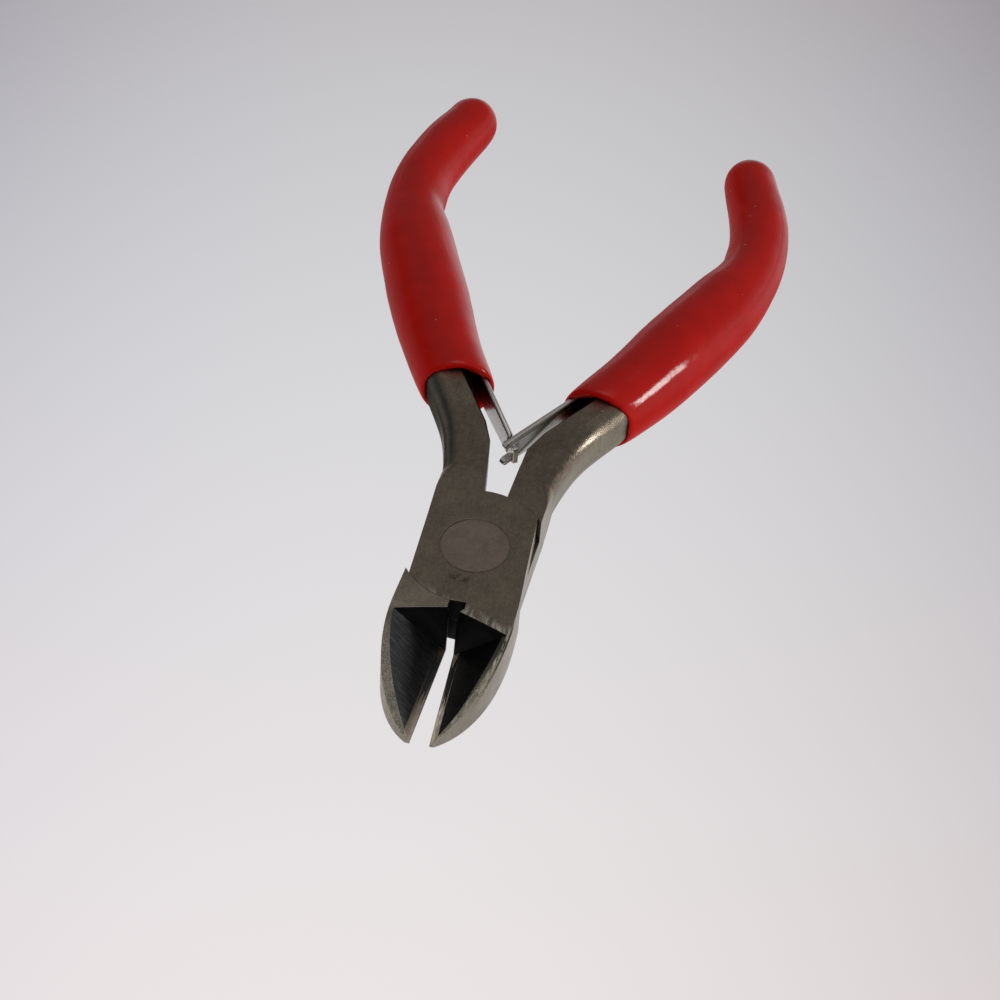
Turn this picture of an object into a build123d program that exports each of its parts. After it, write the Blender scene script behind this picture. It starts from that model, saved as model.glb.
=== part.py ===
"""Small flush cutter: two lap-jointed arms, dipped grips and a pair of hooked leaf springs.

The origin is where the pivot axis meets the joint's lower face. +Z points up out of the face that
carries the ground relief, -Y points along the jaws and +Y between the handles. Arm outlines are
drawn as they stand with the jaws closed, for the right-hand side, and each arm is then turned open.
Heights in the sketches are counted from the joint's middle, which is at MIDDLE_Z.
The right arm is the one with the right handle, so it carries the left jaw and the lower cheek.
"""
import os
from math import atan2, cos, radians, sin

from build123d import *

os.makedirs("parts", exist_ok=True)

LEFT = -1
RIGHT = 1

# Driving dimensions, in mm and degrees
HALF_OPENING = 2.65  # each arm's turn from closed to rest, where the springs hold it
HEAD_HALF_THICK = 3.7
MIDDLE_Z = HEAD_HALF_THICK
TANG_HALF_THICK = 3.55
CHEEK_GAP = 0.02  # half the running gap between the two cheeks
SHOULDER_R = 9.1  # cheek's round edge, concentric with the pivot
SHOULDER_GAP = 0.06
RIVET_HEAD_R = 4.4
RIVET_HEAD_DEPTH = 1.3
RIVET_SHANK_R = 3.2
RIVET_CLEARANCE = 0.04
JAW_TIP_Y = -25.5
EDGE_GAP = 0.015  # each cutting edge's distance from the middle when closed
CUT_THROUGH = 12.0  # long enough to pass through any section

# Head and jaws: outer edges. The left jaw is ground a little fuller than the right one.
HEAD_EDGE = [(6.6, 9.8), (6.68, 4.0), (6.85, -3.5), (6.95, -9.0)]
JAW_EDGE = {LEFT: [(6.9, -13.4), (6.2, -17.6), (4.85, -21.1), (2.8, -24.0), (0.6, JAW_TIP_Y - 0.1)],
            RIGHT: [(6.6, -13.4), (5.7, -17.6), (4.25, -21.1), (2.35, -23.8), (0.5, JAW_TIP_Y + 0.1)]}
THROAT_HALF = {LEFT: 0.45, RIGHT: 0.75}  # slot behind the cutting edges
THROAT_Y = -10.0
THROAT_RAMP = 0.8

# Jaw top falls towards the tip, and the relief falls towards the cutting edge
TOP_FALL = [(-11.3, HEAD_HALF_THICK), (-18.6, 2.05), (JAW_TIP_Y - 0.3, -2.8)]  # y, z of an arc
LAND_TOP_Z = -3.45  # top of the flush land under the cutting edge
BAND_WIDTH = 0.85
BAND_TOP_Z = -2.75
RELIEF_SLOPE = 1.12
RELIEF_RISE = 0.05  # the relief's floor climbs towards the tip
RELIEF_LENGTH = 24.0
RELIEF_WIDTH = 9.0  # past the head's side
RELIEF_OVERREACH = 1.0  # the cutter runs this far past the faces it cuts through
RELIEF_BACK_Y = {LEFT: -10.15, RIGHT: -10.45}
RELIEF_BACK_ROOM = 4.0  # the cutter starts this far behind its back wall and is trimmed to it
RELIEF_BACK_TURN = 19.0  # the relief's back wall runs outward and forward
RELIEF_BACK_LEAN = 8.0  # and leans back from the floor to the top

# Handle bar, called the tang: outer and inner edges from the head to the end inside the grip
TANG_OUTER = [(6.55, 9.8), (6.65, 12.4), (7.2, 16.2), (8.35, 20.6), (11.35, 26.8), (14.4, 33.5),
              (17.05, 40.9), (20.9, 52.4), (23.2, 61.6), (22.3, 70.5), (20.6, 76.0)]
TANG_BEND = (1.6, 17.8)
TANG_INNER = [(2.86, 21.3), (6.6, 28.6), (11.43, 40.88), (15.8, 52.0), (18.8, 61.6), (18.5, 70.0),
              (17.4, 75.0)]
TANG_ROUND = 2.4  # round of the two long outer edges
TANG_BEVEL = [0.1, 0.3, 0.8, 1.3]  # bevel of the inner edges at the bend and at TANG_INNER's first points
BEVEL_OVERREACH = 0.3
TANG_LEAST_LENGTH = 60.0  # only the tang's two long outer edges are longer than this
NECK_Y = 9.2
NECK_X = {LEFT: 0.6, RIGHT: 1.5}  # inner edge of each handle where it leaves the joint
HEAD_END = [(6.6, 13.0), (4.3, 13.0), (2.8, 14.0)]  # the head's flats end on the tang along this line
HEAD_END_Y = 14.6  # and reach the inner edge here
HEAD_END_ROUND = [(8.7, 0.03), (9.9, 0.45), (11.7, 1.35), (13.1, 2.4)]  # y, growing round of the outer edges
HEAD_END_OVERREACH = 0.5

# Grip stations: x, y, half-width, half-height. The last one is the centre of the round end.
GRIP_STATIONS = [(7.85, 28.8, 4.8, 5.0), (10.25, 33.4, 4.95, 5.4), (12.75, 38.8, 5.25, 5.8),
                 (14.95, 44.2, 5.45, 6.0), (17.15, 49.6, 5.35, 5.9), (19.1, 55.0, 5.15, 5.6),
                 (20.6, 60.5, 4.55, 4.95), (21.1, 65.9, 4.2, 4.6), (20.4, 71.3, 4.1, 4.5)]
GRIP_TAIL = {LEFT: [(18.6, 76.7, 3.85, 4.3), (16.75, 82.1, 3.65, 4.0)],
             RIGHT: [(18.8, 76.1, 3.95, 4.3), (17.0, 80.7, 3.75, 4.1)]}
SPRING_ROOM = [(3.4, 25.0), (4.0, 29.8), (6.0, 33.4), (8.35, 38.2), (9.6, 42.6), (10.3, 43.6),
               (13.0, 42.6), (8.5, 26.0)]  # hollow inside the grip for the leaf's root
SPRING_ROOM_HALF = 2.3
MOUTH_TURN = {LEFT: 12.0, RIGHT: 6.0}  # the mouth's plane faces this far from -Y
LIP_ROUND = 0.45

# Leaf springs, at rest
CROSSING_Y = 20.0  # where the two leaves cross, on the middle line
LEAF_THICK = 0.7
LEAF_LEAN = atan2(0.63, 1.0)  # the leaf's angle from +Y
LEAF_STRAIGHT = 15.0  # from the crossing to where the leaf starts to bend
ROOT = (12.9, 40.5)  # rivet centre on the leaf's middle line
ROOT_LEAN = radians(25.4)
LEAF_CLEARANCE = 0.1
LEAF_HALF_HEIGHT = 2.1  # at the root, inside the grip
LEAF_WIDE = (-9.5, 2.27)  # widest half-height, this far before the crossing
LEAF_END_Z = 0.45  # middle of the leaf's height at the crossing
LEAF_END_HALF_HEIGHT = 1.9
TONGUE_HALF = 0.65
SLOT_HALF = 0.9
HOOK_HALF = 1.35
HOOK_START = 1.0
HOOK_END = 1.55
HOOK_ROUND = 0.25
SHOULDER_BACK = 0.95  # the tongue and the fork start this far before the crossing
UPPER_PRONG = 1.5
LOWER_PRONG = 1.75
LEAF_TIP = 2.0
LEAF_TAIL = 1.6  # leaf beyond its rivet, and its flat before it
LEAF_BACK_X = -28.0

# Spring rivets
STUD_R = 0.8
STUD_HEAD_R = 1.4
STUD_HEAD_H = 0.6
STUD_HEAD_ROUND = 0.36
STUD_DEPTH = 2.4


def arm_plane(side, z=0.0):
    """Plan plane of an arm, named by its handle's side and turned to the rest pose."""
    turn = radians(-side * HALF_OPENING)
    return Plane(origin=(0, 0, MIDDLE_Z + z), x_dir=(cos(turn), sin(turn), 0), z_dir=(0, 0, 1))


def arm_section(side, y=0.0):
    """Plane across an arm at y, whose own axes are the arm's x and z. It faces the jaws."""
    plan = arm_plane(side)
    return Plane(origin=plan.from_local_coords((0, y, 0)), x_dir=plan.x_dir, z_dir=-plan.y_dir)


def arm_profile(side):
    """Plane along an arm, whose own axes are the arm's y and z."""
    plan = arm_plane(side)
    return Plane(origin=plan.origin, x_dir=plan.y_dir, z_dir=plan.x_dir)


def across(side, points):
    """The same points, for the side asked for."""
    return [(side * point[0], point[1]) for point in points]


def bevel_cutter(side, top):
    """Wedge that bevels a tang's inner edge, on top or underneath, and widens into the grip."""
    with BuildPart() as wedge:
        for point, leg in zip([TANG_BEND] + TANG_INNER, TANG_BEVEL):
            inside = side * (point[0] + leg + BEVEL_OVERREACH)
            outside = side * (point[0] - BEVEL_OVERREACH)
            high = top * (TANG_HALF_THICK + BEVEL_OVERREACH)
            low = top * (TANG_HALF_THICK - leg - BEVEL_OVERREACH)
            with BuildSketch(arm_section(side, point[1])):
                with BuildLine():
                    Polyline((inside, high), (outside, low), (outside, high), close=True)
                make_face()
        loft(ruled=True)
    return wedge.part


def head_end_cutter(side, top):
    """Rounds a neck's outer edge, from nothing near the joint to the tang's own round."""
    outer_x = HEAD_EDGE[0][0]
    with BuildPart() as cutter:
        for y, radius in HEAD_END_ROUND:
            flat = (side * (outer_x - radius), top * HEAD_HALF_THICK)
            wall = (side * outer_x, top * (HEAD_HALF_THICK - radius))
            reach = radius * cos(radians(45))
            middle = (flat[0] + side * reach, wall[1] + top * reach)
            past_x = side * (outer_x + HEAD_END_OVERREACH)
            past_z = top * (HEAD_HALF_THICK + HEAD_END_OVERREACH)
            with BuildSketch(arm_section(side, y)):
                with BuildLine():
                    ThreePointArc(flat, middle, wall)
                    Polyline(wall, (past_x, wall[1]), (past_x, past_z), (flat[0], past_z), flat)
                make_face()
        loft(ruled=True)
    return cutter.part


def jaw_plan(side):
    """Half of the head from the pivot to the tip, on one side of the middle."""
    edge = across(side, HEAD_EDGE[1:] + JAW_EDGE[side])
    slot_x = side * THROAT_HALF[side]
    with BuildSketch() as plan:
        with BuildLine():
            outer = Spline(*edge)
            Polyline(outer @ 1, (side * EDGE_GAP, edge[-1][1]), (side * EDGE_GAP, THROAT_Y - THROAT_RAMP),
                     (slot_x, THROAT_Y), (slot_x, edge[0][1]), outer @ 0)
        make_face()
    return plan.sketch


def cheek_plan():
    """The round-shouldered cheek, between the two side edges of the head."""
    with BuildSketch() as plan:
        with BuildLine():
            right = Spline(*HEAD_EDGE)
            left = Spline(*across(LEFT, HEAD_EDGE))
            Line(right @ 0, left @ 0)
            Line(right @ 1, left @ 1)
        make_face()
        Circle(SHOULDER_R, mode=Mode.INTERSECT)
    return plan.sketch


def tang_plan(side):
    """Handle bar from the head's end to its own end inside the grip."""
    neck = (side * NECK_X[side], NECK_Y)
    bend = (side * TANG_BEND[0], TANG_BEND[1])
    with BuildSketch() as plan:
        with BuildLine():
            outer = Spline(*across(side, TANG_OUTER))
            inner = Spline(*across(side, TANG_INNER))
            Polyline(inner @ 0, bend, neck, outer @ 0)
            Line(inner @ 1, outer @ 1)
        make_face()
    return plan.sketch


def neck_plan(side):
    """Root of the handle, from the joint to the slanting end of the head's flats."""
    neck_x = side * NECK_X[side]
    bend_x = side * TANG_BEND[0]
    edge = across(side, HEAD_EDGE[:2])
    end_share = (HEAD_END_Y - NECK_Y) / (TANG_BEND[1] - NECK_Y)
    end = (neck_x + end_share * (bend_x - neck_x), HEAD_END_Y)
    with BuildSketch() as plan:
        with BuildLine():
            Polyline(edge[0], edge[1], (neck_x, edge[1][1]), (neck_x, NECK_Y), end,
                     *reversed(across(side, HEAD_END)), edge[0])
        make_face()
    return plan.sketch


def top_fall_profile():
    """What is ground away above the jaws' falling top, as y and z."""
    start, middle, end = TOP_FALL
    with BuildSketch() as plan:
        with BuildLine():
            ThreePointArc(start, middle, end)
            Polyline(end, (end[0], CUT_THROUGH), (start[0], CUT_THROUGH), start)
        make_face()
    return plan.sketch


def relief_section(side, rise):
    """What is ground away above the cutting edge, as x and z, with its floor raised."""
    inner_x = -side * RELIEF_OVERREACH
    far_x = side * RELIEF_WIDTH
    floor_z = BAND_TOP_Z + rise
    far_z = floor_z + RELIEF_SLOPE * (RELIEF_WIDTH - BAND_WIDTH)
    above_z = far_z + RELIEF_OVERREACH
    with BuildSketch() as plan:
        with BuildLine():
            Polyline((inner_x, LAND_TOP_Z), (side * EDGE_GAP, LAND_TOP_Z), (side * BAND_WIDTH, floor_z),
                     (far_x, far_z), (far_x, above_z), (inner_x, above_z), close=True)
        make_face()
    return plan.sketch


def relief_cutter(side):
    """The relief of one jaw, stopped by its back wall. side is the jaw's side."""
    handle = -side
    start_y = RELIEF_BACK_Y[side] + RELIEF_BACK_ROOM
    back = arm_plane(handle).from_local_coords((side * EDGE_GAP, RELIEF_BACK_Y[side], HEAD_HALF_THICK))
    turn = radians(-handle * HALF_OPENING - side * RELIEF_BACK_TURN)
    lean = radians(RELIEF_BACK_LEAN)
    facing = Vector(-sin(turn) * cos(lean), cos(turn) * cos(lean), -sin(lean))
    with BuildPart() as cutter:
        for y in (start_y, start_y - RELIEF_LENGTH):
            with BuildSketch(arm_section(handle, y)):
                add(relief_section(side, RELIEF_RISE * (RELIEF_BACK_Y[side] - y)))
        loft(ruled=True)
        split(bisect_by=Plane(origin=back, z_dir=facing), keep=Keep.BOTTOM)
    return cutter.part


def leaf_side(side):
    """Plane along the straight of a leaf: x runs from the crossing towards the tip, y is up."""
    toward_tip = Vector(-side * sin(LEAF_LEAN), -cos(LEAF_LEAN), 0)
    return Plane(origin=(0, CROSSING_Y, MIDDLE_Z), x_dir=toward_tip, z_dir=toward_tip.cross(Vector(0, 0, 1)))


def root_plane(side):
    """Plane at a leaf's root on the tang's face, facing away from the tang."""
    away = Vector(-side * cos(ROOT_LEAN), sin(ROOT_LEAN), 0)
    on_tang = Vector(side * ROOT[0], ROOT[1], MIDDLE_Z) - away * (LEAF_THICK / 2 + LEAF_CLEARANCE)
    return Plane(origin=on_tang, x_dir=(0, 0, 1), z_dir=away)


def handle_bar(side):
    """The tang, with its outer edges rounded and its inner ones bevelled."""
    bevels = [bevel_cutter(side, top) for top in (1, -1)]
    with BuildPart() as bar:
        with BuildSketch(arm_plane(side, -TANG_HALF_THICK)):
            add(tang_plan(side))
        extrude(amount=2 * TANG_HALF_THICK)
        fillet([edge for edge in bar.edges() if edge.length > TANG_LEAST_LENGTH], TANG_ROUND)
        add(bevels, mode=Mode.SUBTRACT)
    return bar.part


def arm(side):
    """One forging: handle on one side, cheek half the joint thick, jaw on the other side."""
    cheek_up = -side
    plane = arm_plane(side)
    bar = handle_bar(side)
    head_ends = [head_end_cutter(side, top) for top in (1, -1)]
    with BuildPart() as forging:
        # Neck at the head's thickness, rounded where it runs onto the handle
        with BuildSketch(arm_plane(side, -HEAD_HALF_THICK)):
            add(neck_plan(side))
        extrude(amount=2 * HEAD_HALF_THICK)
        add(head_ends, mode=Mode.SUBTRACT)
        # Handle bar, rounded along its outer side
        add(bar)
        # Jaw
        with BuildSketch(arm_plane(side, -HEAD_HALF_THICK)):
            add(jaw_plan(-side))
        extrude(amount=2 * HEAD_HALF_THICK)
        # Room for the other arm's cheek, then this arm's own cheek
        with BuildSketch(arm_plane(side, cheek_up * CHEEK_GAP)):
            Circle(SHOULDER_R + SHOULDER_GAP)
        extrude(amount=-cheek_up * CUT_THROUGH, mode=Mode.SUBTRACT)
        with BuildSketch(arm_plane(side, cheek_up * CHEEK_GAP)):
            add(cheek_plan())
        extrude(amount=cheek_up * (HEAD_HALF_THICK - CHEEK_GAP))
        # Jaw's falling top and its relief
        with BuildSketch(arm_profile(side)):
            add(top_fall_profile())
        extrude(amount=CUT_THROUGH, both=True, mode=Mode.SUBTRACT)
        add(relief_cutter(-side), mode=Mode.SUBTRACT)
        # Rivet bore: the left arm grips the rivet and the right arm turns on it
        play = RIVET_CLEARANCE if side == RIGHT else 0.0
        with BuildSketch(plane):
            Circle(RIVET_SHANK_R + play)
        extrude(amount=CUT_THROUGH, both=True, mode=Mode.SUBTRACT)
        with BuildSketch(arm_plane(side, cheek_up * (HEAD_HALF_THICK - RIVET_HEAD_DEPTH - play))):
            Circle(RIVET_HEAD_R + play)
        extrude(amount=cheek_up * CUT_THROUGH, mode=Mode.SUBTRACT)
        # Blind hole for the spring's rivet
        with BuildSketch(root_plane(side).offset(LEAF_CLEARANCE)):
            Circle(STUD_R)
        extrude(amount=-STUD_DEPTH - LEAF_CLEARANCE, mode=Mode.SUBTRACT)
    return forging


def section_across(plan, place, along):
    """Plane at a place in an arm's plan, facing along the handle, with its y axis up."""
    origin = plan.from_local_coords(place)
    facing = plan.from_local_coords(place + along) - origin
    return Plane(origin=origin, x_dir=facing.cross(Vector(0, 0, 1)), z_dir=facing)


def grip_body(side):
    """Outer form of a dipped grip, lofted along the handle and closed by a round end."""
    plan = arm_plane(side)
    stations = GRIP_STATIONS + GRIP_TAIL[side]
    places = [Vector(side * x, y, 0) for x, y, _, _ in stations]
    sizes = [(half_width, half_height) for _, _, half_width, half_height in stations]
    axis = Spline(*places)
    mouth_turn = radians(MOUTH_TURN[side])
    mouth_along = Vector(side * sin(mouth_turn), cos(mouth_turn), 0)
    alongs = [mouth_along] + [axis % axis.param_at_point(place) for place in places[1:]]
    end_plane = section_across(plan, places[-1], alongs[-1])
    end_width, end_height = sizes[-1]
    dome = Sphere(1, arc_size1=0, align=(Align.CENTER, Align.CENTER, Align.MIN))
    round_end = scale(dome, by=(end_width, end_height, end_width))
    with BuildPart() as body:
        for place, along, size in zip(places, alongs, sizes):
            with BuildSketch(section_across(plan, place, along)):
                Ellipse(*size)
        loft()
        add(end_plane.location * round_end)
    return body.part


def leaf(side, outline):
    """A leaf bent in plan and cut to its side outline, whose x runs from the crossing to the tip."""
    root = (side * ROOT[0], ROOT[1])
    lean_x = side * sin(LEAF_LEAN)
    lean_y = cos(LEAF_LEAN)
    bend = (lean_x * LEAF_STRAIGHT, CROSSING_Y + lean_y * LEAF_STRAIGHT)
    tip = (-lean_x * LEAF_TIP, CROSSING_Y - lean_y * LEAF_TIP)
    root_dir = (side * sin(ROOT_LEAN), cos(ROOT_LEAN))
    root_end = (root[0] + root_dir[0] * LEAF_TAIL, root[1] + root_dir[1] * LEAF_TAIL)
    root_start = (root[0] - root_dir[0] * LEAF_TAIL, root[1] - root_dir[1] * LEAF_TAIL)
    with BuildPart() as strip:
        with BuildSketch(Plane.XY.offset(MIDDLE_Z)):
            with BuildLine():
                Line(tip, bend)
                Spline(bend, root_start, tangents=[(lean_x, lean_y), root_dir])
                Line(root_start, root_end)
            trace(line_width=LEAF_THICK)
        extrude(amount=LEAF_WIDE[1], both=True)
        with BuildSketch(leaf_side(side)):
            add(outline)
        extrude(amount=CUT_THROUGH, both=True, mode=Mode.INTERSECT)
        with BuildSketch(root_plane(side)):
            Circle(STUD_R + LEAF_CLEARANCE)
        extrude(amount=STUD_DEPTH, both=True, mode=Mode.SUBTRACT)
    return strip


def leaf_blank_outline():
    """Side outline of a leaf from its root to its shoulder, narrowing towards the crossing."""
    low_z = LEAF_END_Z - LEAF_END_HALF_HEIGHT
    high_z = LEAF_END_Z + LEAF_END_HALF_HEIGHT
    wide_x, wide_half = LEAF_WIDE
    return [(LEAF_BACK_X, -LEAF_HALF_HEIGHT), (wide_x, -wide_half), (-SHOULDER_BACK, low_z),
            (-SHOULDER_BACK, high_z), (wide_x, wide_half), (LEAF_BACK_X, LEAF_HALF_HEIGHT)]


def hooked_outline():
    """Left leaf: a tongue that ends in a T-shaped hook."""
    with BuildSketch() as outline:
        with BuildLine():
            Polyline(*leaf_blank_outline(), close=True)
        make_face()
        with Locations((-SHOULDER_BACK, LEAF_END_Z)):
            Rectangle(HOOK_END + SHOULDER_BACK, 2 * TONGUE_HALF, align=(Align.MIN, Align.CENTER))
        with Locations((HOOK_START, LEAF_END_Z)):
            Rectangle(HOOK_END - HOOK_START, 2 * HOOK_HALF, align=(Align.MIN, Align.CENTER))
        fillet(outline.vertices().group_by(Axis.X)[-1], HOOK_ROUND)
    return outline.sketch


def forked_outline():
    """Right leaf: two round-ended prongs either side of a slot, the lower one longer."""
    prong_half = (LEAF_END_HALF_HEIGHT - SLOT_HALF) / 2
    prong_offset = SLOT_HALF + prong_half
    with BuildSketch() as outline:
        with BuildLine():
            Polyline(*leaf_blank_outline(), close=True)
        make_face()
        for z, reach in ((LEAF_END_Z + prong_offset, UPPER_PRONG), (LEAF_END_Z - prong_offset, LOWER_PRONG)):
            with Locations((-SHOULDER_BACK, z)):
                Rectangle(SHOULDER_BACK + reach - prong_half, 2 * prong_half, align=(Align.MIN, Align.CENTER))
            with Locations((reach - prong_half, z)):
                Circle(prong_half)
    return outline.sketch


def spring_rivet(side):
    """Headed stud that holds a leaf's root on its handle."""
    seat = LEAF_THICK + 2 * LEAF_CLEARANCE
    plane = root_plane(side)
    with BuildPart() as stud:
        with BuildSketch(plane.offset(-STUD_DEPTH)):
            Circle(STUD_R)
        extrude(amount=STUD_DEPTH + seat)
        with BuildSketch(plane.offset(seat)):
            Circle(STUD_HEAD_R)
        extrude(amount=STUD_HEAD_H)
        round_edges = stud.edges().filter_by(GeomType.CIRCLE)
        crown = round_edges.sort_by(lambda edge: plane.to_local_coords(edge.center()).Z)[-1]
        fillet(crown, STUD_HEAD_ROUND)
    return stud


def grip(side, handle):
    """Dipped grip, hollow for its handle and for the spring's root."""
    body = grip_body(side)
    with BuildPart() as cover:
        add(body)
        mouth = cover.faces().filter_by(GeomType.PLANE).sort_by(Axis.Y)[0]
        fillet(mouth.edges(), LIP_ROUND)
        with BuildSketch(arm_plane(side)):
            with BuildLine():
                Polyline(*across(side, SPRING_ROOM), close=True)
            make_face()
        extrude(amount=SPRING_ROOM_HALF, both=True, mode=Mode.SUBTRACT)
        add(handle, mode=Mode.SUBTRACT)
        # The handle's blind rivet hole is not filled
        with BuildSketch(root_plane(side)):
            Circle(STUD_HEAD_R)
        extrude(amount=-STUD_DEPTH, mode=Mode.SUBTRACT)
    return cover


def flush_rivet():
    """Flush rivet with a head sunk in each cheek."""
    with BuildPart() as rivet:
        with BuildSketch():
            Circle(RIVET_SHANK_R)
        extrude(amount=2 * HEAD_HALF_THICK)
        for face_z in (0, 2 * HEAD_HALF_THICK - RIVET_HEAD_DEPTH):
            with BuildSketch(Plane.XY.offset(face_z)):
                Circle(RIVET_HEAD_R)
            extrude(amount=RIVET_HEAD_DEPTH)
    return rivet


# The parts
left_arm = arm(LEFT)
right_arm = arm(RIGHT)
pivot_rivet = flush_rivet()
left_grip = grip(LEFT, left_arm.part)
right_grip = grip(RIGHT, right_arm.part)
left_spring = leaf(LEFT, hooked_outline())
right_spring = leaf(RIGHT, forked_outline())
left_spring_rivet = spring_rivet(LEFT)
right_spring_rivet = spring_rivet(RIGHT)

left_arm.part.label = "left_arm"
export_step(left_arm.part, "parts/left_arm.step")

right_arm.part.label = "right_arm"
export_step(right_arm.part, "parts/right_arm.step")

pivot_rivet.part.label = "pivot_rivet"
export_step(pivot_rivet.part, "parts/pivot_rivet.step")

left_grip.part.label = "left_grip"
export_step(left_grip.part, "parts/left_grip.step")

right_grip.part.label = "right_grip"
export_step(right_grip.part, "parts/right_grip.step")

left_spring.part.label = "left_spring"
export_step(left_spring.part, "parts/left_spring.step")

right_spring.part.label = "right_spring"
export_step(right_spring.part, "parts/right_spring.step")

left_spring_rivet.part.label = "left_spring_rivet"
export_step(left_spring_rivet.part, "parts/left_spring_rivet.step")

right_spring_rivet.part.label = "right_spring_rivet"
export_step(right_spring_rivet.part, "parts/right_spring_rivet.step")
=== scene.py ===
"""Looks of a small flush cutter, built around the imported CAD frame."""
import math

import bmesh
import bpy
import numpy as np
from mathutils import Matrix, Vector, noise


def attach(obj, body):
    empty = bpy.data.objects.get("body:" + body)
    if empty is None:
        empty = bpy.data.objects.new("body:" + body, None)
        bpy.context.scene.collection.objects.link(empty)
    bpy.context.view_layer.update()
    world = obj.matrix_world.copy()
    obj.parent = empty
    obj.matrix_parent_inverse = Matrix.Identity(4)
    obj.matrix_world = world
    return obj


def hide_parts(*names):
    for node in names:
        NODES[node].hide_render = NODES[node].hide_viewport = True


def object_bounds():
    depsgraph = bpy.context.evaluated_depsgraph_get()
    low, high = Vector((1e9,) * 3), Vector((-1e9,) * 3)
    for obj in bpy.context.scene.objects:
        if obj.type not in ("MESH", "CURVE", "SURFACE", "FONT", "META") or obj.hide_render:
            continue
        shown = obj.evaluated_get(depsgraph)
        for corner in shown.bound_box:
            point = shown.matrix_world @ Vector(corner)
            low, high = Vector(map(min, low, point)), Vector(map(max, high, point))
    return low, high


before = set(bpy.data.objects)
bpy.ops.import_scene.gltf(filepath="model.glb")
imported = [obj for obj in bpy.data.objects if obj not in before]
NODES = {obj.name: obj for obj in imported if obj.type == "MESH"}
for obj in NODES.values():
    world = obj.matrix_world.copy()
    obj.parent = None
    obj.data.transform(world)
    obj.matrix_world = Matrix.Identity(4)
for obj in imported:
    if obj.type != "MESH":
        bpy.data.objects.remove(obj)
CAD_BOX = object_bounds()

MM = 0.001
LEFT = -1
RIGHT = 1
HALF_OPENING = math.radians(2.65)

scene = bpy.context.scene
scene.view_settings.view_transform = "Standard"
scene.view_settings.look = "None"


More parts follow.
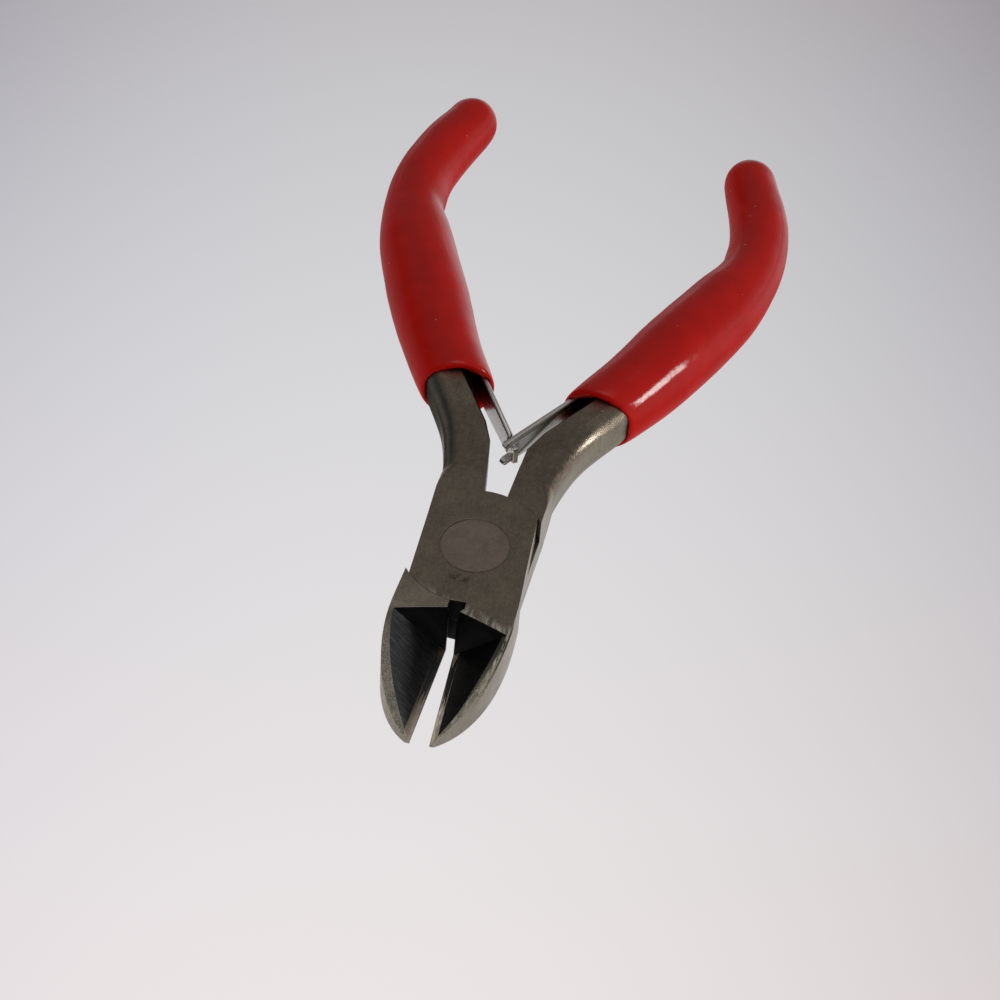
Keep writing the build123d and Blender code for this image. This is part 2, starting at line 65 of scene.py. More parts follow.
# ---------------------------------------------------------------- shader helpers
class Shader:
    """A material's node tree, with short calls for the nodes used here."""

    def __init__(self, name):
        self.material = bpy.data.materials.new(name)
        self.material.use_nodes = True
        self.tree = self.material.node_tree
        self.tree.nodes.clear()
        self.out = self.tree.nodes.new("ShaderNodeOutputMaterial")
        self.coords = self.tree.nodes.new("ShaderNodeTexCoord")
        self.mm = self.vector("SCALE", self.coords.outputs["Object"], scale=1000.0)

    def put(self, socket, value):
        """Links or sets one input."""
        if isinstance(value, bpy.types.NodeSocket):
            self.tree.links.new(value, socket)
        elif isinstance(value, (tuple, list)) and socket.type == "RGBA" and len(value) == 3:
            socket.default_value = (*value, 1.0)
        else:
            socket.default_value = value

    def node(self, kind, **inputs):
        made = self.tree.nodes.new(kind)
        for key, value in inputs.items():
            self.put(made.inputs[key.replace("_", " ")], value)
        return made

    def math(self, operation, a, b=0.0, c=0.0, clamp=False):
        made = self.tree.nodes.new("ShaderNodeMath")
        made.operation = operation
        made.use_clamp = clamp
        for socket, value in zip(made.inputs, (a, b, c)):
            self.put(socket, value)
        return made.outputs[0]

    def vector(self, operation, a, b=(0.0, 0.0, 0.0), scale=1.0):
        made = self.tree.nodes.new("ShaderNodeVectorMath")
        made.operation = operation
        self.put(made.inputs[0], a)
        self.put(made.inputs[1], b)
        if operation == "SCALE":
            self.put(made.inputs["Scale"], scale)
        return made.outputs["Value"] if operation in ("LENGTH", "DOT_PRODUCT", "DISTANCE") else made.outputs[0]

    def stretched(self, scale, turn=0.0, tilt=0.0, source=None):
        """Object coordinates in mm, turned about Z and then scaled."""
        made = self.tree.nodes.new("ShaderNodeMapping")
        made.vector_type = "TEXTURE"
        self.put(made.inputs["Vector"], source or self.mm)
        made.inputs["Rotation"].default_value = (tilt, 0.0, turn)
        made.inputs["Scale"].default_value = tuple(1.0 / s for s in scale)
        return made.outputs[0]

    def noise(self, where, scale=1.0, detail=4.0, rough=0.5, distortion=0.0):
        made = self.tree.nodes.new("ShaderNodeTexNoise")
        self.put(made.inputs["Vector"], where)
        for key, value in (("Scale", scale), ("Detail", detail), ("Roughness", rough), ("Distortion", distortion)):
            made.inputs[key].default_value = value
        return made.outputs["Fac"]

    def specks(self, where, scale, size, share=0.5):
        """Small round dots: 1 inside a dot. share is how many of the cells have one."""
        cells = self.tree.nodes.new("ShaderNodeTexVoronoi")
        self.put(cells.inputs["Vector"], where)
        cells.inputs["Scale"].default_value = scale
        dot = self.math("LESS_THAN", cells.outputs["Distance"], size)
        chosen = self.tree.nodes.new("ShaderNodeSeparateColor")
        self.put(chosen.inputs[0], cells.outputs["Color"])
        return self.math("MULTIPLY", dot, self.math("LESS_THAN", chosen.outputs[0], share))

    def ramp(self, value, low, high, out_low=0.0, out_high=1.0, smooth=True):
        made = self.tree.nodes.new("ShaderNodeMapRange")
        made.interpolation_type = "SMOOTHSTEP" if smooth else "LINEAR"
        for key, number in (("Value", value), ("From Min", low), ("From Max", high), ("To Min", out_low),
                            ("To Max", out_high)):
            self.put(made.inputs[key], number)
        return made.outputs[0]

    def mix(self, factor, a, b, blend="MIX"):
        made = self.tree.nodes.new("ShaderNodeMix")
        made.data_type = "RGBA"
        made.blend_type = blend
        made.clamp_factor = True
        self.put(made.inputs["Factor"], factor)
        self.put(made.inputs[6], a)
        self.put(made.inputs[7], b)
        return made.outputs[2]

    def mix_value(self, factor, a, b):
        made = self.tree.nodes.new("ShaderNodeMix")
        made.data_type = "FLOAT"
        self.put(made.inputs[0], factor)
        self.put(made.inputs[2], a)
        self.put(made.inputs[3], b)
        return made.outputs[0]

    def attribute(self, name):
        made = self.tree.nodes.new("ShaderNodeAttribute")
        made.attribute_name = name
        return made.outputs["Fac"]

    def shut_in(self, distance, inside=False):
        """How much of the view around a point is closed off by nearby surfaces, 0 to 1."""
        made = self.tree.nodes.new("ShaderNodeAmbientOcclusion")
        made.samples = 6
        made.inside = inside
        made.inputs["Distance"].default_value = distance
        return self.math("SUBTRACT", 1.0, made.outputs["AO"])

    def soft_edge(self, radius):
        """A normal rounded over sharp edges, and how near an edge the point is."""
        made = self.tree.nodes.new("ShaderNodeBevel")
        made.samples = 6
        made.inputs["Radius"].default_value = radius
        geometry = self.tree.nodes.new("ShaderNodeNewGeometry")
        facing = self.vector("DOT_PRODUCT", made.outputs[0], geometry.outputs["Normal"])
        return made.outputs[0], self.ramp(facing, 0.995, 0.9)

    def bump(self, height, distance, strength=1.0, normal=None):
        made = self.tree.nodes.new("ShaderNodeBump")
        self.put(made.inputs["Height"], height)
        made.inputs["Distance"].default_value = distance
        made.inputs["Strength"].default_value = strength
        if normal is not None:
            self.put(made.inputs["Normal"], normal)
        return made.outputs[0]

    def finish(self, **inputs):
        surface = self.tree.nodes.new("ShaderNodeBsdfPrincipled")
        for key, value in inputs.items():
            self.put(surface.inputs[key.replace("_", " ")], value)
        self.tree.links.new(surface.outputs[0], self.out.inputs[0])
        return self.material


# ---------------------------------------------------------------- steel
def arm_axes(side, points):
    """Points in mm along an arm's own x and y, with the arm named by its handle's side."""
    turn = -side * HALF_OPENING
    x = points[:, 0] * math.cos(turn) + points[:, 1] * math.sin(turn)
    y = -points[:, 0] * math.sin(turn) + points[:, 1] * math.cos(turn)
    return x, y


def mark_faces(node, side):
    """Writes which way each face of an arm was worked, and which faces get painted shade (the relief's end wall, the
    throat and the tang's inner bevel), for its material.
    """
    mesh = node.data
    count = len(mesh.polygons)
    centre = np.zeros(count * 3, np.float32)
    normal = np.zeros(count * 3, np.float32)
    mesh.polygons.foreach_get("center", centre)
    mesh.polygons.foreach_get("normal", normal)
    centre = centre.reshape(-1, 3) / MM
    normal = normal.reshape(-1, 3)
    x, y = arm_axes(side, centre)
    nx, ny = arm_axes(side, normal)
    nz = normal[:, 2]
    jaw = -side
    rise = np.degrees(np.arctan2(nz, -jaw * nx))
    ahead = y < -9.5
    marks = {
        "relief": ahead & (rise > 36) & (rise < 46) & (np.abs(ny) < 0.2),
        "back": (y < -9) & (y > -15) & (ny < -0.75) & (nz > 0.04) & (nz < 0.4),
        "band": ahead & (rise > 46) & (rise < 60) & (np.abs(ny) < 0.2),
        "flat": np.abs(nz) > 0.999,
        "bevel": (y > 15) & (np.abs(nz) > 0.5) & (np.abs(nz) < 0.95) & (-side * nx > 0.3),
        "fall": ahead & (ny < -0.02) & (nz > 0.5) & (np.abs(nx) < 0.15),
        "throat": (np.abs(x) < 1.3) & (y > -13) & (y < -8.6) & (np.abs(nz) < 0.95) & (np.abs(ny) > 0.2),
    }
    for name, chosen in marks.items():
        attribute = mesh.attributes.new(name, "FLOAT", "FACE")
        attribute.data.foreach_set("value", chosen.astype(np.float32))


MIDDLE_HEIGHT = 3.7  # of the joint, in mm
TOP_FALL_Y = -11.3
TOP_FALL_RATE = 0.031
LIP_MIDDLE_Y = -15.5
LIP_DEPTH = 0.85  # mm
LIP_NARROWING = 0.02
SKIRT = {LEFT: (-1.45, -1.15), RIGHT: (-0.85, -0.55)}  # mm below the top, where a jaw's wall turns dull
RELIEF_TURN_SLOPE = math.tan(math.radians(19))  # the relief's back wall runs forward as it goes outward
STAIN_PLACE = (-0.6, -5.6, 0.0)  # on the cheek below the rivet, in mm


def steel(side):
    """Satin forged steel with a ground face, black relief and brushed rims, with painted shade on the left tang, the
    inner bevels, the relief's end wall and the throat.
    """
    s = Shader("steel_left" if side == LEFT else "steel_right")
    turn = -side * HALF_OPENING
    normal, worn = s.soft_edge(0.00012)
    relief = s.attribute("relief")
    back = s.attribute("back")
    band = s.attribute("band")
    throat = s.attribute("throat")
    bevel = s.attribute("bevel")
    split = s.tree.nodes.new("ShaderNodeSeparateXYZ")
    s.put(split.inputs[0], s.stretched((1.0, 1.0, 1.0), turn))
    x, y = split.outputs[0], split.outputs[1]
    geometry = s.tree.nodes.new("ShaderNodeNewGeometry")
    facing = s.tree.nodes.new("ShaderNodeSeparateXYZ")
    s.put(facing.inputs[0], geometry.outputs["Normal"])
    upright = s.math("ABSOLUTE", facing.outputs[2])
    on_tang = s.ramp(y, 8.0, 14.0)
    fall = s.math("MULTIPLY", s.attribute("fall"), s.ramp(y, -11.5, -13.5))
    level = s.ramp(upright, 0.05, 0.6)
    # Painted shade: on the left tang the dark side colour reaches far up the rounding.
    if side == LEFT:
        level = s.mix_value(on_tang, level, s.ramp(upright, 0.72, 0.99))
    # Grinding lines along the arm, grain, pits and slow mottling
    lines = s.noise(s.stretched((9.0, 0.35, 2.0), turn), 1.0, 6.0, 0.6)
    grain = s.noise(s.mm, 6.0, 4.0, 0.65)
    blotch = s.noise(s.mm, 1.6, 4.0, 0.6)
    mottle = s.noise(s.mm, 0.3, 3.0, 0.6)
    tone = s.math("ADD", s.math("MULTIPLY", lines, 0.25), s.math("MULTIPLY", grain, 0.45))
    tone = s.math("ADD", tone, s.math("MULTIPLY", blotch, 0.2))
    tone = s.math("ADD", tone, s.math("MULTIPLY", mottle, 0.25))
    tone = s.ramp(tone, 0.44, 0.71, 0.66, 1.34, smooth=False)
    dull = (0.325, 0.268, 0.205)
    if side == RIGHT:
        dull = s.mix(s.ramp(y, -4.0, -9.0), (0.305, 0.25, 0.19), (0.44, 0.38, 0.30))
    wall = s.mix(s.ramp(y, -10.0, -22.0), (0.42, 0.39, 0.345), (0.27, 0.25, 0.205))
    # Painted shade: the left arm's tang sides are painted far darker than the right arm's, as the side turned from
    # the light.
    wall = s.mix(on_tang, wall, (0.12, 0.112, 0.1) if side == LEFT else (0.30, 0.27, 0.215))
    colour = s.mix(level, wall, dull)
    # The walls' upper edge is as dull as the falling top, which drops with the square of the distance
    beyond = s.math("MAXIMUM", s.math("SUBTRACT", TOP_FALL_Y, y), 0.0)
    top_z = s.math("MULTIPLY_ADD", s.math("MULTIPLY", beyond, beyond), -TOP_FALL_RATE, 2 * MIDDLE_HEIGHT)
    skirt = s.ramp(s.math("SUBTRACT", split.outputs[2], top_z), *SKIRT[side])
    skirt = s.math("MULTIPLY", skirt, s.math("MULTIPLY", s.ramp(y, -9.5, -12.0), s.ramp(y, -22.0, -19.0)))
    skirt = s.math("MULTIPLY", skirt, s.ramp(upright, 0.4, 0.1))
    ahead = s.ramp(y, -13.0, -20.5)
    spotted = s.ramp(grain, 0.42, 0.58)
    skirt_colour = s.mix(ahead, (0.115, 0.11, 0.09), s.mix(spotted, (0.15, 0.135, 0.105), (0.42, 0.39, 0.31)))
    colour = s.mix(skirt, colour, skirt_colour)
    if side == LEFT:
        rim = s.mix(s.ramp(y, -15.0, -19.5), (0.125, 0.118, 0.095), (0.52, 0.48, 0.38))
    else:
        rim = s.mix(ahead, (0.22, 0.2, 0.16), (0.6, 0.545, 0.43))
    rim = s.mix(spotted, s.mix(0.45, rim, (0.08, 0.07, 0.055)), rim)
    colour = s.mix(fall, colour, rim)
    coarse = s.math("MULTIPLY", fall, ahead)
    band_colour = (0.40, 0.33, 0.28) if side == LEFT else (0.36, 0.28, 0.23)
    colour = s.mix(band, colour, band_colour)
    shade = s.node("ShaderNodeCombineColor", Red=tone, Green=tone, Blue=tone).outputs[0]
    colour = s.mix(1.0, colour, shade, "MULTIPLY")
    if side == LEFT:
        # Burrs behind the relief, and stains below the rivet
        behind = s.math("ADD", s.math("MULTIPLY", x, RELIEF_TURN_SLOPE), y)
        strokes = s.noise(s.stretched((2.4, 0.5, 1.0), turn), 1.0, 4.0, 0.65)
        burr = s.math("MULTIPLY", s.ramp(behind, -8.6, -10.2), s.ramp(strokes, 0.44, 0.6))
        colour = s.mix(s.math("MULTIPLY", burr, level), colour, (0.72, 0.67, 0.56))
        stain_at = s.vector("MULTIPLY", s.vector("SUBTRACT", s.mm, STAIN_PLACE), (0.45, 0.8, 0.0))
        stain = s.math("MULTIPLY", s.ramp(s.vector("LENGTH", stain_at), 1.0, 0.2),
                       s.ramp(s.noise(s.mm, 1.5, 4.0, 0.7), 0.46, 0.58))
        colour = s.mix(s.math("MULTIPLY", stain, 0.8), colour, (0.09, 0.075, 0.055))
    colour = s.mix(s.math("MULTIPLY", worn, 0.35), colour, (0.6, 0.57, 0.5))
    dust = s.specks(s.mm, 0.42, 0.045, 0.3)
    colour = s.mix(s.math("MULTIPLY", dust, 0.6), colour, (0.95, 0.93, 0.9))
    # Black relief with slanting grinding streaks
    streaks = s.noise(s.stretched((0.7, 4.0, 0.01), math.radians(-4)), 1.0, 4.0, 0.65)
    light = s.ramp(streaks, 0.42, 0.7)
    dark = s.mix(light, (0.075, 0.076, 0.078), (0.165, 0.168, 0.172)) if side == RIGHT else s.mix(
        light, (0.018, 0.018, 0.018), (0.05, 0.05, 0.05))
    if side == LEFT:
        # The brushed rim runs over the relief's upper edge, most in the middle of the jaw
        from_middle = s.math("SUBTRACT", y, LIP_MIDDLE_Y)
        lip_depth = s.math("MULTIPLY_ADD", s.math("MULTIPLY", from_middle, from_middle), -LIP_NARROWING, LIP_DEPTH)
        above = s.math("ADD", s.math("SUBTRACT", split.outputs[2], top_z), lip_depth)
        above = s.math("MULTIPLY_ADD", s.math("SUBTRACT", grain, 0.5), 0.5, above)
        lip = s.ramp(above, -0.05, 0.05)
        lip_colour = s.mix(ahead, (0.33, 0.31, 0.25), s.mix(spotted, (0.35, 0.32, 0.25), (0.95, 0.89, 0.74)))
        dark = s.mix(lip, dark, lip_colour)
    colour = s.mix(relief, colour, dark)
    # Painted shade: the relief's end wall and the throat between the jaws are painted near black, and further down
    # (unlit) lose their metal reflection.
    colour = s.mix(back, colour, (0.012, 0.012, 0.013))
    colour = s.mix(throat, colour, (0.006, 0.006, 0.006))
    # Painted shade: the tang's inner bevel is painted dark blue-grey, standing in for a dark reflection.
    colour = s.mix(bevel, colour, s.mix(s.ramp(blotch, 0.4, 0.65), (0.02, 0.022, 0.028), (0.10, 0.10, 0.11)))
    rough = s.ramp(s.noise(s.stretched((6.0, 0.6, 2.0), turn), 1.0, 4.0), 0.3, 0.7, 0.32, 0.44)
    near_grip = s.ramp(y, 21.5, 26.5)
    tang_rough = s.mix_value(near_grip, s.ramp(blotch, 0.35, 0.65, 0.16, 0.27), s.ramp(grain, 0.35, 0.65, 0.26, 0.44))
    rough = s.mix_value(on_tang, rough, tang_rough)
    rough = s.mix_value(relief, rough, 0.55)
    rough = s.mix_value(s.math("MAXIMUM", coarse, skirt), rough, 0.5)
    height = s.math("ADD", s.math("MULTIPLY", lines, 0.5), s.math("MULTIPLY", grain, 0.6))
    height = s.math("ADD", height, s.math("MULTIPLY", s.math("MULTIPLY", grain, coarse), 2.0))
    height = s.math("ADD", height, s.math("MULTIPLY", s.math("MULTIPLY", streaks, relief), 1.5))
    height = s.math("ADD", height, s.math("MULTIPLY", s.math("MULTIPLY", grain, near_grip), 1.6))
    bumped = s.bump(height, 0.00004, 0.6, normal)
    unlit = s.math("MAXIMUM", back, throat)
    # Painted shade: the left arm's tang gets a dim reflection tint, darker than the right arm's.
    edge_tint = (0.3, 0.29, 0.27) if side == LEFT else (0.8, 0.78, 0.74)
    edge_tint = s.mix(on_tang, (0.9, 0.88, 0.85), edge_tint)
    skirt_tint = s.mix(ahead, (0.2, 0.19, 0.155), s.mix(spotted, (0.3, 0.28, 0.23), (0.6, 0.57, 0.48)))
    edge_tint = s.mix(skirt, edge_tint, skirt_tint)
    return s.finish(Base_Color=colour, Metallic=s.math("SUBTRACT", 1.0, unlit), Roughness=rough, Specular_Tint=edge_tint,
                    Specular_IOR_Level=s.mix_value(unlit, 0.5, 0.06), Normal=bumped)


def rivet_steel():
    """Steel of the rivets: a flush ground disc with a dark outline and a few smudges."""
    s = Shader("rivet_steel_finish")
    normal, worn = s.soft_edge(0.0001)
    flat_mm = s.vector("MULTIPLY", s.mm, (1.0, 1.0, 0.0))
    radius = s.vector("LENGTH", flat_mm)
    split = s.tree.nodes.new("ShaderNodeSeparateXYZ")
    s.put(split.inputs[0], s.mm)
    y = split.outputs[1]
    grain = s.noise(s.mm, 6.0, 4.0, 0.65)
    mottle = s.noise(s.mm, 0.6, 3.0, 0.6)
    tone = s.ramp(s.math("ADD", grain, mottle), 0.7, 1.3, 0.8, 1.2, smooth=False)
    shade = s.node("ShaderNodeCombineColor", Red=tone, Green=tone, Blue=tone).outputs[0]
    colour = s.mix(1.0, (0.41, 0.335, 0.27), shade, "MULTIPLY")
    ring = s.math("MULTIPLY", s.ramp(radius, 4.02, 4.3), s.math("LESS_THAN", radius, 6.0))
    colour = s.mix(s.math("MULTIPLY", ring, s.ramp(mottle, 0.3, 0.7, 0.25, 0.75)), colour, (0.05, 0.042, 0.036))
    smudge = s.math("MULTIPLY", s.ramp(s.noise(s.mm, 2.2, 4.0, 0.7), 0.5, 0.68), s.ramp(y, -2.6, -4.0))
    smudge = s.math("MULTIPLY", smudge, s.math("LESS_THAN", radius, 6.0))
    colour = s.mix(s.math("MULTIPLY", smudge, 0.5), colour, (0.09, 0.075, 0.06))
    return s.finish(Base_Color=colour, Metallic=1.0, Roughness=s.ramp(grain, 0.3, 0.7, 0.36, 0.46),
                    Normal=s.bump(grain, 0.00003, 0.4, normal))


def spring_steel():
    """Bright plated strip with fine scratches and dark specks, painted shade where surfaces close in and a painted
    highlight along its upward edges.
    """
    s = Shader("spring_steel_finish")
    scratch = s.noise(s.stretched((1.5, 1.5, 14.0)), 1.0, 5.0, 0.6)
    patches = s.noise(s.mm, 1.1, 4.0, 0.6)
    tone = s.ramp(s.math("ADD", scratch, patches), 0.7, 1.3, 0.7, 1.1, smooth=False)
    shade = s.node("ShaderNodeCombineColor", Red=tone, Green=tone, Blue=tone).outputs[0]
    colour = s.mix(1.0, (0.72, 0.70, 0.66), shade, "MULTIPLY")
    dirt = s.ramp(s.noise(s.stretched((1.0, 1.0, 0.5)), 2.6, 4.0, 0.7), 0.6, 0.7)
    colour = s.mix(s.math("MULTIPLY", dirt, 0.8), colour, (0.12, 0.11, 0.10))
    # Painted shade: near black, a little red, where nearby surfaces close in around the leaf.
    shade_near_surfaces = s.ramp(s.shut_in(0.004), 0.35, 0.9)
    colour = s.mix(s.math("MULTIPLY", shade_near_surfaces, 0.75), colour, (0.03, 0.012, 0.01))
    geometry = s.tree.nodes.new("ShaderNodeNewGeometry")
    facing = s.tree.nodes.new("ShaderNodeSeparateXYZ")
    s.put(facing.inputs[0], geometry.outputs["Normal"])
    # Painted highlight: the leaf's upward-facing edges are painted much brighter, for the bright line along their
    # tops.
    edge = s.ramp(s.math("ABSOLUTE", facing.outputs[2]), 0.1, 0.35)
    colour = s.mix(edge, colour, (0.92, 0.9, 0.86))
    rough = s.mix_value(edge, s.ramp(patches, 0.3, 0.7, 0.16, 0.28), 0.36)
    return s.finish(Base_Color=colour, Metallic=1.0, Roughness=rough, Normal=s.bump(scratch, 0.00002, 0.4))


def vinyl():
    """Glossy dipped vinyl: deep red, faint flow marks and dust, with painted shade where surfaces close in."""
    s = Shader("vinyl_finish")
    flow = s.noise(s.mm, 0.22, 3.0, 0.5)
    grain = s.noise(s.mm, 2.5, 3.0, 0.5)
    fine = s.noise(s.mm, 7.0, 2.0, 0.5)
    colour = s.mix(s.ramp(flow, 0.35, 0.65), (0.77, 0.008, 0.003), (0.86, 0.010, 0.004))
    dust = s.specks(s.mm, 0.55, 0.06, 0.35)
    colour = s.mix(s.math("MULTIPLY", dust, 0.5), colour, (0.8, 0.55, 0.5))
    # Painted shade: near black inside the mouths and wherever nearby surfaces close in.
    shade_near_surfaces = s.ramp(s.shut_in(0.003), 0.4, 0.9)
    colour = s.mix(s.math("MULTIPLY", shade_near_surfaces, 0.8), colour, (0.05, 0.002, 0.002))
    height = s.math("ADD", s.math("MULTIPLY", flow, 0.5), s.math("MULTIPLY", grain, 0.1))
    height = s.math("ADD", height, s.math("MULTIPLY", fine, 0.03))
    soft = s.bump(height, 0.0002, 0.5)
    geometry = s.tree.nodes.new("ShaderNodeNewGeometry")
    facing = s.tree.nodes.new("ShaderNodeSeparateXYZ")
    s.put(facing.inputs[0], geometry.outputs["Normal"])
    toward_light = s.math("MULTIPLY_ADD", facing.outputs[0], 0.35, facing.outputs[2])
    gloss = s.ramp(toward_light, 0.4, 0.9, 0.1, 1.0)
    return s.finish(Base_Color=colour, Roughness=0.5, Specular_IOR_Level=0.04, Coat_Weight=gloss,
                    Coat_Roughness=s.ramp(grain, 0.3, 0.7, 0.08, 0.15), Coat_IOR=1.45, Normal=soft,
                    Coat_Normal=soft)


# ---------------------------------------------------------------- dipped grips
VOXEL = 0.00022
SMOOTH_STEPS = 6
EVEN_STEPS = 70
MOUTH_PLACE = (7.85, 28.8)  # centre of a grip's mouth along its arm's own axes, in mm
MOUTH_HALF = (4.8, 5.0)
MOUTH_TURN = {LEFT: math.radians(12), RIGHT: math.radians(6)}
FUNNEL_DEPTH = 1.15
FUNNEL_RANGE = 3.2
FUNNEL_RIM = (0.9, 0.5)  # share of the mouth's radius where the funnel starts and is deepest
# Dents and swellings left by the dipping: place, push direction, radius and amount, in mm
PUSHES = {
    LEFT: [((21.0, 79.2), (0.86, 0.5), 4.6, 0.42), ((16.7, 61.8), (1.0, 0.1), 2.0, 0.4)],
    RIGHT: [((14.6, 60.5), (0.9, -0.3), 3.2, 0.5), ((13.9, 60.6), (-0.8, 0.4), 1.5, 0.85),
            ((15.8, 62.8), (0.8, -0.2), 1.6, 0.4)],
}
RIPPLES = [(0.16, 0.07), (0.45, 0.025)]  # per mm, and height in mm


def smooth_share(value, start, end):
    """0 at start, 1 at end, with soft ends."""
    share = np.clip((value - start) / (end - start), 0.0, 1.0)
    return share * share * (3.0 - 2.0 * share)


def settled(thing):
    """A thing's mesh with its modifiers applied."""
    graph = bpy.context.evaluated_depsgraph_get()
    mesh = bpy.data.meshes.new_from_object(thing.evaluated_get(graph))
    thing.modifiers.clear()
    thing.data = mesh
    return mesh


def grip_skin(node_name, side, body):
    """The dipped grip's skin: evenly remeshed from the CAD cover, with a rolled mouth and soft dents."""
    skin = bpy.data.objects.new(f"{node_name}_skin", NODES[node_name].data.copy())
    scene.collection.objects.link(skin)
    remesh = skin.modifiers.new("remesh", "REMESH")
    remesh.mode = "VOXEL"
    remesh.voxel_size = VOXEL
    remesh.use_smooth_shade = True
    smooth = skin.modifiers.new("smooth", "SMOOTH")
    smooth.factor = 0.5
    smooth.iterations = SMOOTH_STEPS
    mesh = settled(skin)
    # The cover is smoothed much more away from its mouth, where it has no edges
    place = np.zeros(len(mesh.vertices) * 3)
    mesh.vertices.foreach_get("co", place)
    out, along = arm_axes(side, place.reshape(-1, 3) / MM)
    turn = MOUTH_TURN[side]
    depth = (out * side - MOUTH_PLACE[0]) * math.sin(turn) + (along - MOUTH_PLACE[1]) * math.cos(turn)
    away = smooth_share(depth, 1.2, 3.5)
    group = skin.vertex_groups.new(name="away")
    for level in range(1, 9):
        chosen = np.nonzero(np.round(away * 8) == level)[0]
        group.add(chosen.tolist(), level / 8, "REPLACE")
    even = skin.modifiers.new("even", "SMOOTH")
    even.factor = 0.5
    even.iterations = EVEN_STEPS
    even.vertex_group = "away"
    mesh = settled(skin)
    skin.vertex_groups.clear()
    count = len(mesh.vertices)
    flat = np.zeros(count * 3)
    mesh.vertices.foreach_get("co", flat)
    points = flat.reshape(-1, 3) / MM
    mesh.vertices.foreach_get("normal", flat)
    normals = flat.reshape(-1, 3).copy()
    # Out from the middle, along the handle and up, on the arm's own axes
    out, along = arm_axes(side, points)
    out = out * side
    up = points[:, 2] - MIDDLE_HEIGHT
    turn = MOUTH_TURN[side]
    facing = np.array([math.sin(turn), math.cos(turn)])
    across = np.array([math.cos(turn), -math.sin(turn)])
    from_mouth = np.stack([out - MOUTH_PLACE[0], along - MOUTH_PLACE[1]], 1)
    depth = from_mouth @ facing
    radius = np.hypot(from_mouth @ across / MOUTH_HALF[0], up / MOUTH_HALF[1])
    sunk = FUNNEL_DEPTH * smooth_share(radius, *FUNNEL_RIM) * smooth_share(depth, FUNNEL_RANGE, 0.0)
    out = out + facing[0] * sunk
    along = along + facing[1] * sunk
    for place, way, size, amount in PUSHES[side]:
        near = np.exp(-((out - place[0]) ** 2 + (along - place[1]) ** 2) / size ** 2) * amount
        out = out + way[0] * near
        along = along + way[1] * near
    angle = -side * HALF_OPENING
    moved = points.copy()
    moved[:, 0] = side * out * math.cos(angle) - along * math.sin(angle)
    moved[:, 1] = side * out * math.sin(angle) + along * math.cos(angle)
    ripple = np.zeros(count)
    for rate, height in RIPPLES:
        ripple += [height * noise.noise(Vector(point) * rate) for point in moved]
    moved += normals * ripple[:, None]
    mesh.vertices.foreach_set("co", (moved * MM).ravel())
    mesh.update()
    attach(skin, body)
    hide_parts(node_name)
    return skin


mark_faces(NODES["left_arm"], LEFT)
mark_faces(NODES["right_arm"], RIGHT)
FINISH = {
    "left_arm": steel(LEFT),
    "right_arm": steel(RIGHT),
    "pivot_rivet": rivet_steel(),
    "left_spring": spring_steel(),
}
FINISH["right_spring"] = FINISH["left_spring"]
FINISH["left_spring_rivet"] = FINISH["pivot_rivet"]
FINISH["right_spring_rivet"] = FINISH["pivot_rivet"]
for name, material in FINISH.items():
    NODES[name].material_slots[0].material = material


def eased_piece(node_name, body, blade_round, small_round):
    """A leaf with a fully rounded blade and eased small edges, made from its CAD node's mesh."""
    piece = bpy.data.objects.new(f"{node_name}_eased", NODES[node_name].data.copy())
    scene.collection.objects.link(piece)
    mesh = piece.data
    for name in ("custom_normal", "sharp_edge", "sharp_face"):
        if name in mesh.attributes:
            mesh.attributes.remove(mesh.attributes[name])
    shape = bmesh.new()
    shape.from_mesh(mesh)
    bmesh.ops.remove_doubles(shape, verts=shape.verts, dist=WELD_REACH)
    bmesh.ops.dissolve_limit(shape, angle_limit=math.radians(0.5), verts=shape.verts, edges=shape.edges)
    sharp = [edge for edge in shape.edges if edge.is_manifold and edge.calc_face_angle() > SHARP_ANGLE]

    def on_blade(edge):
        """Whether an edge runs along the leaf, away from its hook or fork and its rivet hole."""
        middle = (edge.verts[0].co + edge.verts[1].co) / 2
        way = (edge.verts[1].co - edge.verts[0].co).normalized()
        beyond_fork = (middle.xy - CROSSING.xy).length > BLADE_START
        return beyond_fork and abs(way.z) < 0.3 and abs(middle.z - CROSSING.z) > BLADE_LEAST_HEIGHT

    blade = [edge for edge in sharp if on_blade(edge)]
    rest = [edge for edge in sharp if not on_blade(edge)]
    for edges, width, clamp in ((blade, blade_round, False), (rest, small_round, True)):
        edges = [edge for edge in edges if edge.is_valid]
        bmesh.ops.bevel(shape, geom=edges, offset=width, offset_type="OFFSET", segments=4, profile=0.5,
                        affect="EDGES", clamp_overlap=clamp)
    bmesh.ops.recalc_face_normals(shape, faces=shape.faces)
    for face in shape.faces:
        face.smooth = True
    shape.to_mesh(mesh)
    shape.free()
    weighted = piece.modifiers.new("weighted", "WEIGHTED_NORMAL")
    weighted.keep_sharp = False
    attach(piece, body)
    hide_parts(node_name)
    return piece


CROSSING = Vector((0.0, 20.0, MIDDLE_HEIGHT)) * MM  # where the two leaves cross
BLADE_START = 1.6 * MM
BLADE_LEAST_HEIGHT = 1.2 * MM
WELD_REACH = 0.000002
SHARP_ANGLE = math.radians(35)
for name, body in (("left_spring", "left_leaf"), ("right_spring", "right_leaf")):
    eased_piece(name, body, 0.00033, 0.00008)
red_vinyl = vinyl()
for name, side, body in (("left_grip", LEFT, "left_handle"), ("right_grip", RIGHT, "right_handle")):
    skin = grip_skin(name, side, body)
    skin.data.materials.clear()
    skin.data.materials.append(red_vinyl)

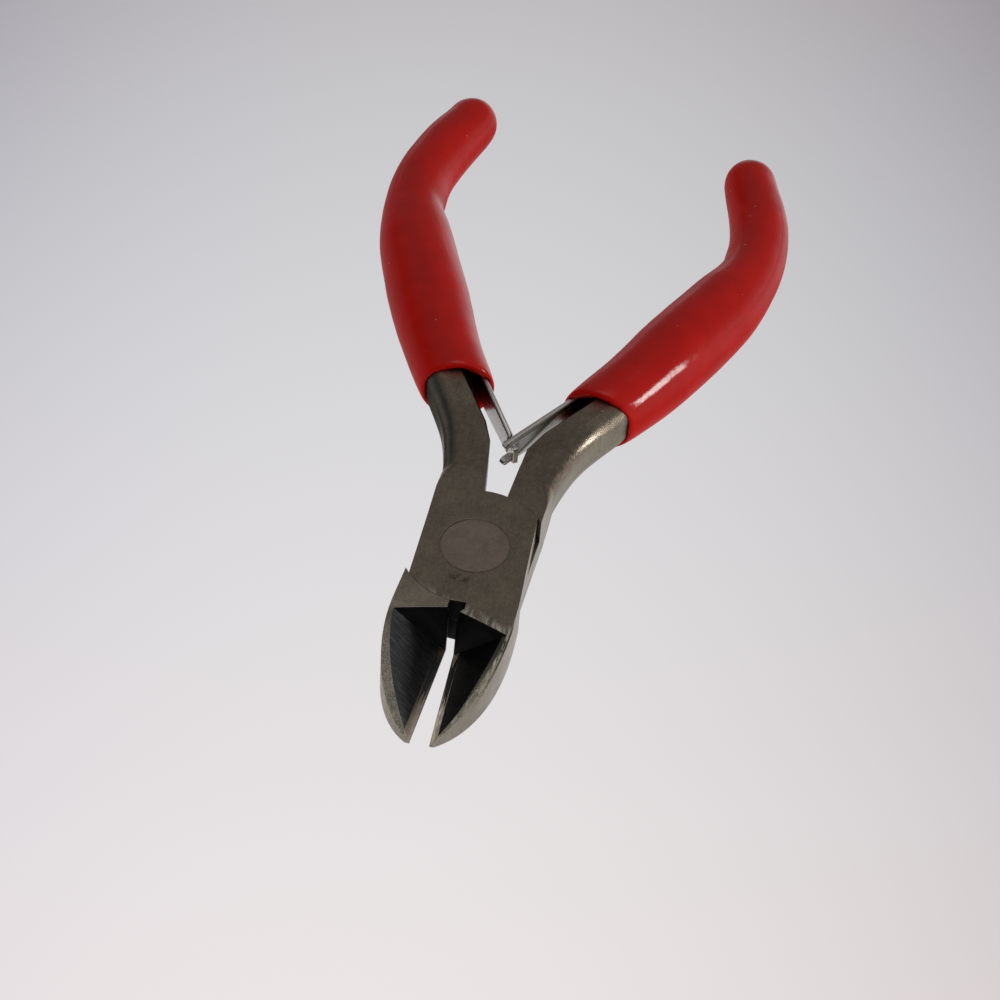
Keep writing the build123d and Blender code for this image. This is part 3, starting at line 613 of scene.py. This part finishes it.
# ---------------------------------------------------------------- floor
FLOOR_GAP = 0.00004
FLOOR_HALF = 3.0
FLOOR_REACH = ((-1.05, 0.75), (-0.75, 1.45))  # where the fade is followed, in tenths of a metre
FLOOR_BLEND = (1.5, 3.0)  # from here to here the floor becomes an even grey
FLOOR_FAR = (0.6, 0.588, 0.6)
# The fade of red, green and blue: at the origin, then per x, y, x^2, y^2 and xy, in tenths of a metre
FLOOR_FADE = [(0.741, -0.016, -0.167, -0.236, -0.018, -0.069), (0.722, -0.028, -0.127, -0.245, -0.048, -0.057),
              (0.734, -0.042, -0.118, -0.216, -0.054, -0.037)]
FLOOR_BOUNCE = 0.6  # how much of its light the floor gives to matt surfaces
floor_z = CAD_BOX[0].z - FLOOR_GAP


def floor_material():
    """Evenly lit pale sheet whose brightness falls off slowly towards the back and sides."""
    s = Shader("pale_floor")
    place = s.vector("MULTIPLY", s.coords.outputs["Object"], (10.0, 10.0, 0.0))
    split = s.tree.nodes.new("ShaderNodeSeparateXYZ")
    s.put(split.inputs[0], place)
    x, y = (s.math("MINIMUM", s.math("MAXIMUM", split.outputs[axis], low), high)
            for axis, (low, high) in enumerate(FLOOR_REACH))
    products = (x, y, s.math("MULTIPLY", x, x), s.math("MULTIPLY", y, y), s.math("MULTIPLY", x, y))
    channels = []
    for base, *factors in FLOOR_FADE:
        value = base
        for product, factor in zip(products, factors):
            value = s.math("MULTIPLY_ADD", product, factor, value)
        channels.append(value)
    far = s.ramp(s.vector("LENGTH", place), *FLOOR_BLEND)
    colour = s.node("ShaderNodeCombineColor", Red=channels[0], Green=channels[1], Blue=channels[2]).outputs[0]
    colour = s.mix(far, colour, FLOOR_FAR)
    path = s.tree.nodes.new("ShaderNodeLightPath")
    strength = s.mix_value(path.outputs["Is Diffuse Ray"], 1.0, FLOOR_BOUNCE)
    glow = s.node("ShaderNodeEmission", Color=colour, Strength=strength)
    s.tree.links.new(glow.outputs[0], s.out.inputs[0])
    return s.material


floor_mesh = bpy.data.meshes.new("floor")
floor_mesh.from_pydata([(x * FLOOR_HALF, y * FLOOR_HALF, floor_z) for x, y in ((-1, -1), (1, -1), (1, 1), (-1, 1))],
                       [], [(0, 1, 2, 3)])
floor = bpy.data.objects.new("floor", floor_mesh)
scene.collection.objects.link(floor)
floor_mesh.materials.append(floor_material())

# ---------------------------------------------------------------- light
world = bpy.data.worlds.new("studio")
scene.world = world
world.use_nodes = True
sky = world.node_tree
sky.nodes.clear()
direction = sky.nodes.new("ShaderNodeTexCoord")
split = sky.nodes.new("ShaderNodeSeparateXYZ")
sky.links.new(direction.outputs["Generated"], split.inputs[0])


def sky_ramp(source, stops):
    """Grey levels along a value, as (position, level) stops."""
    made = sky.nodes.new("ShaderNodeValToRGB")
    sky.links.new(source, made.inputs[0])
    elements = made.color_ramp.elements
    elements[0].position, elements[1].position = stops[0][0], stops[-1][0]
    for position, level in stops[1:-1]:
        elements.new(position)
    for element, (position, level) in zip(elements, stops):
        element.color = (level, level, level, 1.0)
    return made.outputs[0]


lit_side = sky_ramp(split.outputs[2], [(0.0, 0.42), (0.35, 0.17), (0.88, 0.17), (1.0, 0.8)])
dark_side = sky_ramp(split.outputs[2], [(0.0, 0.20), (0.35, 0.14), (0.88, 0.17), (1.0, 0.8)])
toward_lit = sky_ramp(split.outputs[0], [(0.0, 0.0), (0.6, 1.0)])
blend = sky.nodes.new("ShaderNodeMix")
blend.data_type = "RGBA"
sky.links.new(toward_lit, blend.inputs["Factor"])
sky.links.new(dark_side, blend.inputs[6])
sky.links.new(lit_side, blend.inputs[7])
ambient = sky.nodes.new("ShaderNodeBackground")
sky.links.new(blend.outputs[2], ambient.inputs[0])
ambient.inputs[1].default_value = 1.0
world_out = sky.nodes.new("ShaderNodeOutputWorld")
sky.links.new(ambient.outputs[0], world_out.inputs[0])

TARGET = Vector((0.0, 0.03, 0.004))


def soft_box(name, azimuth, elevation, distance, size, power, tint=(1, 1, 1)):
    """Area light aimed at the tool. Azimuth is counted from +X towards +Y."""
    data = bpy.data.lights.new(name, "AREA")
    data.shape = "RECTANGLE"
    data.size, data.size_y = size
    data.energy = power
    data.color = tint
    light = bpy.data.objects.new(name, data)
    a, e = math.radians(azimuth), math.radians(elevation)
    away = Vector((math.cos(a) * math.cos(e), math.sin(a) * math.cos(e), math.sin(e)))
    light.location = TARGET + away * distance
    light.rotation_mode = "QUATERNION"
    light.rotation_quaternion = away.to_track_quat("Z", "Y")
    scene.collection.objects.link(light)
    return light


soft_box("key_light", 3, 15, 0.6, (0.1, 0.13), 0.62)

# ---------------------------------------------------------------- camera
CAMERA_PLACE = Vector((0.0370714, -0.1943206, 0.2367378))
CAMERA_AXES = ((0.9701, 0.2360, 0.0564), (-0.2128, 0.7158, 0.6651), (0.1166, -0.6572, 0.7446))
camera_data = bpy.data.cameras.new("camera")
camera_data.sensor_width = 36.0
camera_data.lens = 89.68
camera_data.clip_start = 0.01
camera_data.clip_end = 20.0
camera = bpy.data.objects.new("camera", camera_data)
axes = Matrix(CAMERA_AXES).transposed()
camera.matrix_world = Matrix.Translation(CAMERA_PLACE) @ axes.to_4x4()
scene.collection.objects.link(camera)
scene.camera = camera
